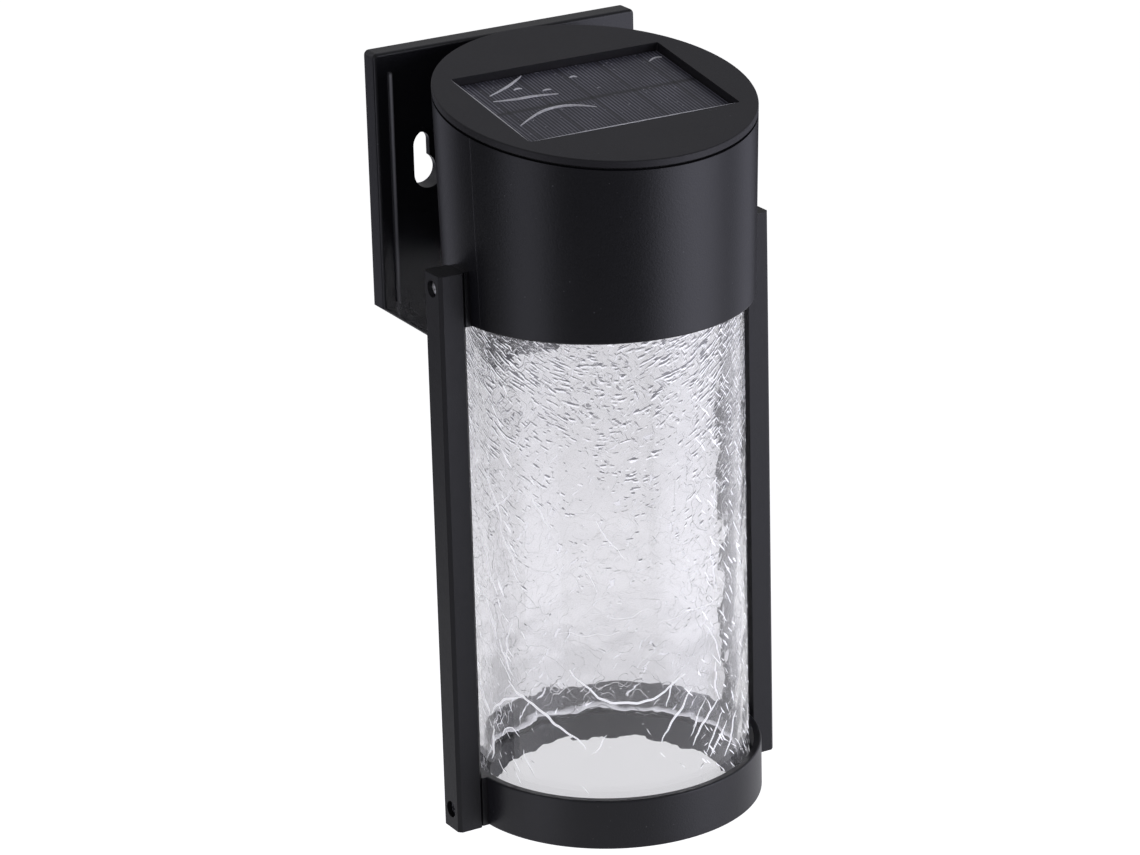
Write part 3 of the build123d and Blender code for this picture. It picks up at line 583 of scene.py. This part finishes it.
def solar_cells(settings, centre, across, along, size):
    """Dark cells with fine light fingers, darker gaps and a dark band halfway."""
    finish = new_finish("solar_cells")
    place = finish.mapped(finish.place(), location=tuple(-c for c in centre))
    u, v = finish.dot(place, across), finish.dot(place, along)
    cell = size[0] / settings.cell_count
    within = finish.maths("PINGPONG", u, cell / 2)
    gap = finish.ridge(within, 0.0007)
    fingers = finish.ridge(finish.maths("PINGPONG", u + 0.0002, settings.finger_pitch / 2), 0.0004)
    halfway = finish.ridge(v - 0.001, 0.0018)
    patch = finish.noise(place, 0.016, 3.0)
    grain = finish.noise(place, 0.0007, 2.0)
    cells = finish.blend(patch, shade(settings.cell_colour, 0.75), tuple(settings.cell_colour))
    striped = finish.blend(fingers * 0.9 * patch, cells, (0.34, 0.34, 0.42))
    banded = finish.blend(finish.clamped(gap * 0.7 + halfway * 0.8), striped, (0.010, 0.010, 0.012))
    rimward = finish.ridge(size[1] / 2 - finish.maths("ABSOLUTE", v), 0.007)
    speck = finish.step(
        finish.noise(finish.mapped(place, (0.4, 0, 0)), 0.0014, 2.0) + 0.06 * rimward, 0.70, 0.74)
    return finish.surface(
        Base_Color=finish.blend(speck * 0.7, banded, (0.42, 0.42, 0.46)),
        Roughness=0.30 + 0.25 * grain,
        Specular_IOR_Level=0.3,
        Normal=finish.bump(grain + 2 * patch, 0.00004),
        Coat_Weight=0.1,
        Coat_Roughness=0.18,
    )


def film_sheen(name):
    """Crumpled clear film drawn whitish, as painted highlight on its creases."""
    finish = new_finish(name)
    crumple = finish.noise(finish.place(), 0.0012, 3.0)
    return finish.surface(
        Base_Color=finish.blend(crumple, (0.55, 0.55, 0.58), (0.85, 0.85, 0.88)),
        Roughness=0.18 + 0.2 * crumple,
        Normal=finish.bump(crumple, 0.0001),
        Coat_Weight=1.0,
        Coat_Roughness=0.1,
    )


def opal_plastic():
    """Milky diffuser plastic with a faint mottled thickness."""
    finish = new_finish("opal_plastic")
    place = finish.place()
    mottle = finish.noise(place, 0.008, 3.0)
    grain = finish.noise(place, 0.0006, 2.0)
    return finish.surface(
        Base_Color=finish.blend(mottle, (0.74, 0.74, 0.73), (0.86, 0.86, 0.85)),
        Roughness=0.34 + 0.12 * grain,
        Subsurface_Weight=0.25,
        Subsurface_Scale=0.002,
        Normal=finish.bump(grain, 0.00002),
    )


def board_laminate(name, colour, trace_colour):
    """Circuit board with lacquered tracks and pads."""
    finish = new_finish(name)
    place = finish.place()
    weave = finish.noise(place, 0.0005, 2.0)
    routes = finish.ridge(finish.edges(finish.mapped(place, scale=(1, 1.6, 1)), 0.006), 0.09)
    pads = 1 - finish.step(finish.node("ShaderNodeTexVoronoi", None, {
        "Vector": place, "Scale": 190.0}, "Distance"), 0.16, 0.22)
    base = finish.blend(weave, shade(colour, 0.8), colour)
    tracked = finish.blend(routes * 0.7, base, shade(colour, 1.9))
    return finish.surface(
        Base_Color=finish.blend(pads, tracked, trace_colour),
        Metallic=pads * 0.8,
        Roughness=0.28 + 0.15 * weave,
        Coat_Weight=0.3,
        Normal=finish.bump(routes + 0.2 * weave, 0.00003),
    )


def shrink_sleeve():
    """Glossy sleeve of the cell, with soft wrinkles, which leaves one metal end bare."""
    finish = new_finish("shrink_sleeve")
    place = finish.place()
    wrinkle = finish.noise(finish.mapped(place, scale=(0.3, 1, 1)), 0.003, 3.0)
    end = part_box("battery_cell")[1].x
    bare = finish.step(finish.split(place)[0], end - BARE_END[0], end - BARE_END[1])
    body = finish.blend(wrinkle, (0.012, 0.10, 0.30), (0.016, 0.13, 0.38))
    return finish.surface(
        Base_Color=finish.blend(bare, body, (0.5, 0.5, 0.5)),
        Metallic=bare * 0.9,
        Roughness=0.22 + 0.12 * wrinkle,
        Coat_Weight=0.4,
        Normal=finish.bump(wrinkle, 0.00006),
    )


def coloured_plastic(name, colour, roughness):
    """Plastic, phosphor or lead insulation of one colour, with a fine grain."""
    finish = new_finish(name)
    grain = finish.noise(finish.place(), 0.0005, 3.0)
    return finish.surface(
        Base_Color=finish.blend(grain, shade(colour, 0.9), colour),
        Roughness=roughness + 0.12 * grain,
        Normal=finish.bump(grain, 0.00001),
    )


def pale_floor():
    """White to camera and through glass, painted shadow under the light, clear from below."""
    finish = new_finish("floor_pale")
    camera_ray, through, glossy = (finish.ray(kind) for kind in (
        "Is Camera Ray", "Is Transmission Ray", "Is Glossy Ray"))
    flat = finish.from_axis(finish.place(), scale=(1, 1, 0))
    away = finish.node("ShaderNodeVectorMath", {"operation": "LENGTH"}, {0: flat}, "Value")
    # Painted shadow right under the light, seen through the glass
    under = 1 - finish.step(away, *FLOOR_SHADOW_REACH)
    # Painted pool of light near the light, for rays other than the camera's
    near = 1 - finish.step(away, *FLOOR_NEAR)
    rest = finish.blend(near, (0.12, 0.12, 0.125), (0.85, 0.85, 0.88))
    behind = finish.blend(through, rest, (0.35, 0.35, 0.35))
    lit = finish.node("ShaderNodeBsdfDiffuse", None, {
        "Color": finish.blend(camera_ray, behind, (0.92, 0.92, 0.92))})
    seen_through = through * (0.74 + 0.14 * near - 0.22 * under)
    # Near the light the floor glows in mirrored rays: a painted reflection
    painted_reflection = (1 - through) * glossy * near * 0.35
    glow = finish.node("ShaderNodeEmission", None, {
        "Color": (1, 1, 1, 1), "Strength": camera_ray * 0.8 + seen_through + painted_reflection})
    pale = finish.node("ShaderNodeAddShader", None, {0: lit, 1: glow})
    clear = finish.node("ShaderNodeBsdfTransparent")
    from_below = finish.node("ShaderNodeNewGeometry", None, None, "Backfacing")
    return finish.close(
        finish.node("ShaderNodeMixShader", None, {0: from_below, 1: pale, 2: clear}))


def studio_world():
    """White to the camera and the glass, and an even soft light on everything else."""
    finish = Finish(bpy.data.worlds.new("studio"))
    shown = finish.clamped(finish.ray("Is Camera Ray") + finish.ray("Is Transmission Ray")
                           + finish.ray("Is Glossy Ray") * 0.05)
    white = finish.node("ShaderNodeBackground", None, {"Color": (1, 1, 1, 1), "Strength": 1.0})
    soft = finish.node("ShaderNodeBackground", None, {
        "Color": (0.97, 0.97, 1, 1), "Strength": 0.25})
    return finish.close(
        finish.node("ShaderNodeMixShader", None, {0: shown, 1: soft, 2: white}),
        "ShaderNodeOutputWorld")


# Shapes


def new_piece(name, mesh, body, material):
    """Makes an object of a finished mesh, in place, and has it ride on a body."""
    piece = bpy.data.objects.new(name, mesh)
    bpy.context.scene.collection.objects.link(piece)
    mesh.materials.append(material)
    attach(piece, body)
    return piece


def turned(outline, steps, rounded, radius, segments, rows):
    """Spins a closed outline of (radius, height) points about the lamp's axis.

    The corners named in rounded are rounded first, and the tall sides are cut into rows.
    """
    shape = bmesh.new()
    corners = [shape.verts.new((LAMP_AXIS.x + r, LAMP_AXIS.y, z)) for r, z in outline]
    for first, second in zip(corners, corners[1:] + corners[:1]):
        shape.edges.new((first, second))
    bmesh.ops.bevel(
        shape, geom=[corners[i] for i in rounded], offset=radius, offset_type="OFFSET",
        segments=segments, profile=0.5, affect="VERTICES", material=-1)
    tall = [edge for edge in shape.edges
            if abs(edge.verts[0].co.z - edge.verts[1].co.z) > TALL_EDGE]
    bmesh.ops.subdivide_edges(shape, edges=tall, cuts=rows)
    bmesh.ops.spin(
        shape, geom=shape.verts[:] + shape.edges[:], cent=LAMP_AXIS, axis=UP, dvec=(0, 0, 0),
        angle=math.tau, steps=steps, use_merge=True, use_duplicate=False)
    bmesh.ops.remove_doubles(shape, verts=shape.verts[:], dist=SAME_POINT)
    bmesh.ops.recalc_face_normals(shape, faces=shape.faces[:])
    return shape


def finished(shape, name, smooth=True):
    """Turns a bmesh into a mesh."""
    mesh = bpy.data.meshes.new(name)
    shape.to_mesh(mesh)
    shape.free()
    for face in mesh.polygons:
        face.use_smooth = smooth
    return mesh


def strand(name, points, width, body, material, order=3):
    """Makes a thin thread through points, drawn thin at its ends."""
    end_share = 0.35
    line = bpy.data.curves.new(name, "CURVE")
    line.dimensions = "3D"
    line.bevel_depth = width / 2
    line.bevel_resolution = 2
    line.resolution_u = 6
    line.use_fill_caps = True
    spline = line.splines.new("NURBS")
    spline.points.add(len(points) - 1)
    for index, at in enumerate(points):
        spline.points[index].co = (*at, 1)
        swell = math.sin(math.pi * index / (len(points) - 1))
        spline.points[index].radius = end_share + (1 - end_share) * swell
    spline.order_u = order
    spline.use_endpoint_u = True
    carrier = bpy.data.objects.new(name, line)
    mesh = bpy.data.meshes.new_from_object(carrier)
    bpy.data.objects.remove(carrier)
    mesh.materials.clear()
    for face in mesh.polygons:
        face.use_smooth = True
    return new_piece(name, mesh, body, material)


def direction(azimuth, elevation):
    """The way from the light to a viewer or lamp. Azimuth 0 is the front."""
    level = math.cos(elevation)
    return Vector((math.sin(azimuth) * level, -math.cos(azimuth) * level, math.sin(elevation)))


def dress(material, *nodes):
    """Gives a material to nodes of the model."""
    for name in nodes:
        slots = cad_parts[name].data.materials
        slots.clear()
        slots.append(material)


# Operators, one for each piece or group of like pieces


class WALL_LIGHT_OT_shell(bpy.types.Operator):
    """Finishes the head, wall plate, base ring, lid and side bars"""
    bl_idname = "wall_light.shell"
    bl_label = "Shell Finishes"

    def execute(self, context):
        looks = context.scene.light_shell
        size, depth = looks.grain_size, looks.grain_depth
        satin, streak = 0.31, 0.2
        dress(moulded_plastic("ring_shell", tuple(looks.ring_colour), satin, size, depth, streak),
              "base_ring")
        dress(moulded_plastic("matt_lid", tuple(looks.lid_colour), 0.50, size * 0.7, depth),
              "solar_lid")
        dress(painted_metal("black_bar", tuple(looks.bar_colour), 0.36, size, depth * 0.7),
              "side_bar_left", "side_bar_right")
        dress(moulded_plastic("head_shell", tuple(looks.colour), satin, size, depth, streak,
                              seam_angle=looks.seam_angle), "head_housing")
        # The wall plate's raised line is given a painted highlight
        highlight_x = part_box("wall_plate")[1].x - looks.highlight_inset
        dress(moulded_plastic("plate_shell", tuple(looks.colour), satin, size, depth, streak,
                              highlight_x=highlight_x), "wall_plate")
        return {"FINISHED"}


class WALL_LIGHT_OT_glass(bpy.types.Operator):
    """Makes the crackle glass tube with an uneven inner face, rounded rims and long cracks"""
    bl_idname = "wall_light.glass"
    bl_label = "Crackle Glass"

    def tube(self, settings):
        """The tube's shape. Broad and fine waves make its inner face uneven."""
        low, high = GLASS_LOW.z, GLASS_HIGH.z
        inner, outer = GLASS_RADIUS - settings.wall, GLASS_RADIUS
        outline = [(inner, low), (outer, low), (outer, high), (inner, high)]
        shape = turned(outline, TURNING_STEPS, (0, 1, 2, 3), settings.rim_radius,
                       RIM_STEPS, TUBE_ROWS)
        middle = (inner + outer) / 2
        broad, fine = 130, 300
        for vertex in shape.verts:
            out = vertex.co - LAMP_AXIS
            out.z = 0
            if out.length < middle and low + EVEN_RIM < vertex.co.z < high - EVEN_RIM:
                swell = noise.noise(vertex.co * broad) + 0.35 * noise.noise(vertex.co * fine)
                vertex.co += out.normalized() * swell * settings.ripple
        return shape

    def crack(self, number, angle, height, heading, length, bend):
        """Points of one long crack over the outer face. Each crack has its own waver."""
        around = math.radians(angle) * GLASS_RADIUS
        rise = GLASS_LOW.z + height / 1000
        steps = round(length / 1000 / CRACK_STRIDE)
        path = []
        for index in range(steps + 1):
            turn = around / GLASS_RADIUS
            out = Vector((math.sin(turn), -math.cos(turn), 0))
            path.append(LAMP_AXIS + GLASS_RADIUS * out + UP * rise)
            waver = CRACK_WAVER * noise.noise(Vector((number * 7.3, index * 0.55, 0.5)))
            way = math.radians(heading + bend * index / steps + waver)
            around += CRACK_STRIDE * math.cos(way)
            rise += CRACK_STRIDE * math.sin(way)
        return path

    def execute(self, context):
        settings = context.scene.light_glass
        mesh = finished(self.tube(settings), "crackle_tube")
        piece = new_piece("crackle_tube", mesh, "lamp", crackle_glass(settings))
        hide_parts("glass_tube")
        # The long cracks glow white: painted highlights
        bright = crack_face()
        for number, (*course, share) in enumerate(LONG_CRACKS):
            strand("long_crack_%d" % number, self.crack(number, *course),
                   settings.crack_width * share, "lamp", bright, 2)
        return {"FINISHED"}


class WALL_LIGHT_OT_solar(bpy.types.Operator):
    """Finishes the solar cells; film creases and the recess edge are drawn as painted highlights"""
    bl_idname = "wall_light.solar"
    bl_label = "Solar Panel"

    def execute(self, context):
        settings = context.scene.light_panel
        low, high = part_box("solar_panel")
        across = Vector((1, 0, 0))
        along = Vector((0, math.cos(LID_SLOPE), math.sin(LID_SLOPE)))
        out = across.cross(along)
        centre = (low + high) / 2
        size = (high.x - low.x, high.y - low.y)
        dress(solar_cells(settings, centre, across, along, size), "solar_panel")
        film = film_sheen("film_sheen")
        top = centre + out * PANEL_THICKNESS / 2
        # The film's real creases are drawn as whitish strands: painted highlights
        for number, points in enumerate(FILM_CREASES):
            path = [top + across * (u / 1000) + along * (v / 1000) for u, v in points]
            strand("film_crease_%d" % number, path, settings.crease_width,
                   "lid", film)

        # A whitish strand along the left and front of the recess paints the highlight of its top
        # edge
        wide, deep = size[0] / 2 + RECESS_HIGHLIGHT_ACROSS, size[1] / 2 + RECESS_HIGHLIGHT_ALONG
        corners = [top + across * u + along * v + out * RECESS_HIGHLIGHT_RISE
                   for u, v in ((-wide, deep), (-wide, -deep), (wide, -deep))]
        for side, ends in (("left", corners[:2]), ("front", corners[1:])):
            path = [ends[0].lerp(ends[1], part / RECESS_HIGHLIGHT_PARTS)
                    for part in range(RECESS_HIGHLIGHT_PARTS + 1)]
            strand("recess_highlight_" + side, path, settings.crease_width * RECESS_HIGHLIGHT_SHARE,
                   "lid", film)
        return {"FINISHED"}


class WALL_LIGHT_OT_screws(bpy.types.Operator):
    """Finishes the bright and blackened screws"""
    bl_idname = "wall_light.screws"
    bl_label = "Screws"

    def execute(self, context):
        bright = bright_metal("bright_screw", (0.95, 0.95, 0.96), 0.32, dent=0.0008)
        black = painted_metal("black_screw", (0.10, 0.10, 0.11), 0.34, 0.0005, 0.00001)
        dress(bright, "plate_screws", "upper_bar_screws", "led_board_screws", "board_screws")
        dress(black, "lower_bar_screws")
        return {"FINISHED"}


class WALL_LIGHT_OT_seals(bpy.types.Operator):
    """Finishes the rubber seals and the mode button"""
    bl_idname = "wall_light.seals"
    bl_label = "Seals and Button"

    def execute(self, context):
        dress(plain_rubber("seal_rubber", (0.016, 0.016, 0.017)),
              "upper_glass_seal", "lower_glass_seal", "lid_gasket", "button_seal")
        dress(plain_rubber("button_rubber", (0.030, 0.030, 0.032)), "mode_button")
        return {"FINISHED"}


class WALL_LIGHT_OT_light_board(bpy.types.Operator):
    """Finishes the diffuser, the light board, its LEDs and both pairs of leads"""
    bl_idname = "wall_light.light_board"
    bl_label = "Light Board and Diffuser"

    def execute(self, context):
        dress(opal_plastic(), "diffuser")
        dress(bright_metal("white_board", (0.82, 0.83, 0.83), 0.4), "led_board")
        dress(coloured_plastic("led_phosphor", (0.85, 0.72, 0.30), 0.25), "leds")
        dress(coloured_plastic("lead_sleeve", (0.55, 0.03, 0.02), 0.35),
              "led_lead", "solar_lead")
        return {"FINISHED"}


class WALL_LIGHT_OT_inner_parts(bpy.types.Operator):
    """Finishes the control board, the cell and what sits round them"""
    bl_idname = "wall_light.inner_parts"
    bl_label = "Inner Parts"

    def execute(self, context):
        inner_black = moulded_plastic("black_inner", (0.030, 0.030, 0.031), 0.45, 0.0007, 0.00003)
        dress(board_laminate("board_laminate", (0.010, 0.075, 0.030), (0.75, 0.72, 0.62)),
              "control_board", "motion_sensor")
        dress(inner_black, "battery_holder", "board_components", "switch_body", "switch_plunger")
        dress(shrink_sleeve(), "battery_cell")
        dress(bright_metal("spring_steel", (0.72, 0.70, 0.64), 0.25, (1, 1, 0.1)),
              "battery_contacts")
        dress(coloured_plastic("connector_white", (0.78, 0.77, 0.72), 0.38),
              "solar_socket", "solar_plug")
        return {"FINISHED"}


class WALL_LIGHT_OT_stage(bpy.types.Operator):
    """Sets up the floor, the soft studio light and the camera"""
    bl_idname = "wall_light.stage"
    bl_label = "Stage"

    def softbox(self, aim, name, azimuth, elevation, distance, width, power, spread):
        """An area light that looks at a point. A small spread softens its edges."""
        lamp = bpy.data.lights.new(name, "AREA")
        lamp.shape = "RECTANGLE"
        lamp.size, lamp.size_y = width, SOFTBOX_HEIGHT
        lamp.energy = power
        lamp.spread = math.radians(spread)
        lamp.color = SOFTBOX_COLOUR
        carrier = bpy.data.objects.new(name, lamp)
        carrier.visible_transmission = False
        bpy.context.scene.collection.objects.link(carrier)
        away = direction(math.radians(azimuth), math.radians(elevation))
        carrier.location = aim + away * distance
        carrier.rotation_euler = away.to_track_quat("Z", "Y").to_euler()

    def floor(self, height):
        """A level floor under the light."""
        shape = bmesh.new()
        bmesh.ops.create_grid(shape, x_segments=2, y_segments=2, size=FLOOR_REACH)
        bmesh.ops.translate(shape, verts=shape.verts[:], vec=(0, 0, height))
        floor = bpy.data.objects.new("floor", finished(shape, "floor", False))
        bpy.context.scene.collection.objects.link(floor)
        floor.data.materials.append(pale_floor())

    def camera(self, settings):
        """The camera at the photograph's angle."""
        back = direction(settings.azimuth, settings.elevation)
        right = Vector((math.cos(settings.azimuth), math.sin(settings.azimuth), 0))
        up = back.cross(right)
        cosine, sine = math.cos(settings.roll), math.sin(settings.roll)
        level, upright = right * cosine + up * sine, up * cosine - right * sine
        shift = level * settings.aside[0] + upright * settings.aside[1]
        place = CAMERA_AIM + back * settings.distance + shift
        eye = bpy.data.cameras.new("camera")
        eye.lens = settings.lens
        eye.sensor_width = SENSOR_WIDTH
        eye.clip_start, eye.clip_end = 0.01, 60
        camera = bpy.data.objects.new("camera", eye)
        bpy.context.scene.collection.objects.link(camera)
        turn = Matrix((level, upright, back)).transposed().to_4x4()
        camera.matrix_world = Matrix.Translation(place) @ turn
        bpy.context.scene.camera = camera

    def execute(self, context):
        settings = context.scene.light_stage
        context.scene.view_settings.view_transform = "Standard"
        context.scene.world = studio_world()
        low, high = CAD_BOX
        self.floor(low.z - settings.floor_drop)
        aim = Vector((0, LAMP_AXIS.y, (low.z + high.z) / 2))
        for row in SOFTBOXES:
            self.softbox(aim, *row)
        self.camera(settings)
        return {"FINISHED"}


OPERATORS = (
    WALL_LIGHT_OT_shell, WALL_LIGHT_OT_glass, WALL_LIGHT_OT_solar, WALL_LIGHT_OT_screws,
    WALL_LIGHT_OT_seals, WALL_LIGHT_OT_light_board, WALL_LIGHT_OT_inner_parts,
    WALL_LIGHT_OT_stage,
)
GROUPS = (
    ("light_shell", ShellSettings), ("light_glass", GlassSettings),
    ("light_panel", PanelSettings), ("light_stage", StageSettings),
)


class WALL_LIGHT_PT_looks(bpy.types.Panel):
    """Lists the pieces of the wall light"""
    bl_label = "Wall Light"
    bl_idname = "WALL_LIGHT_PT_looks"
    bl_space_type = "VIEW_3D"
    bl_region_type = "UI"
    bl_category = "Wall Light"

    def draw(self, context):
        for operator in OPERATORS:
            self.layout.operator(operator.bl_idname)
        for name, group in GROUPS:
            box = self.layout.box()
            for key in group.__annotations__:
                box.prop(getattr(context.scene, name), key)


def register():
    for name, group in GROUPS:
        bpy.utils.register_class(group)
        setattr(bpy.types.Scene, name, bpy.props.PointerProperty(type=group))
    for operator in OPERATORS:
        bpy.utils.register_class(operator)
    bpy.utils.register_class(WALL_LIGHT_PT_looks)


def unregister():
    bpy.utils.unregister_class(WALL_LIGHT_PT_looks)
    for operator in reversed(OPERATORS):
        bpy.utils.unregister_class(operator)
    for name, group in reversed(GROUPS):
        delattr(bpy.types.Scene, name)
        bpy.utils.unregister_class(group)


def main():
    register()
    for operator in OPERATORS:
        family, action = operator.bl_idname.split(".")
        getattr(getattr(bpy.ops, family), action)()


if __name__ == "__main__":
    main()
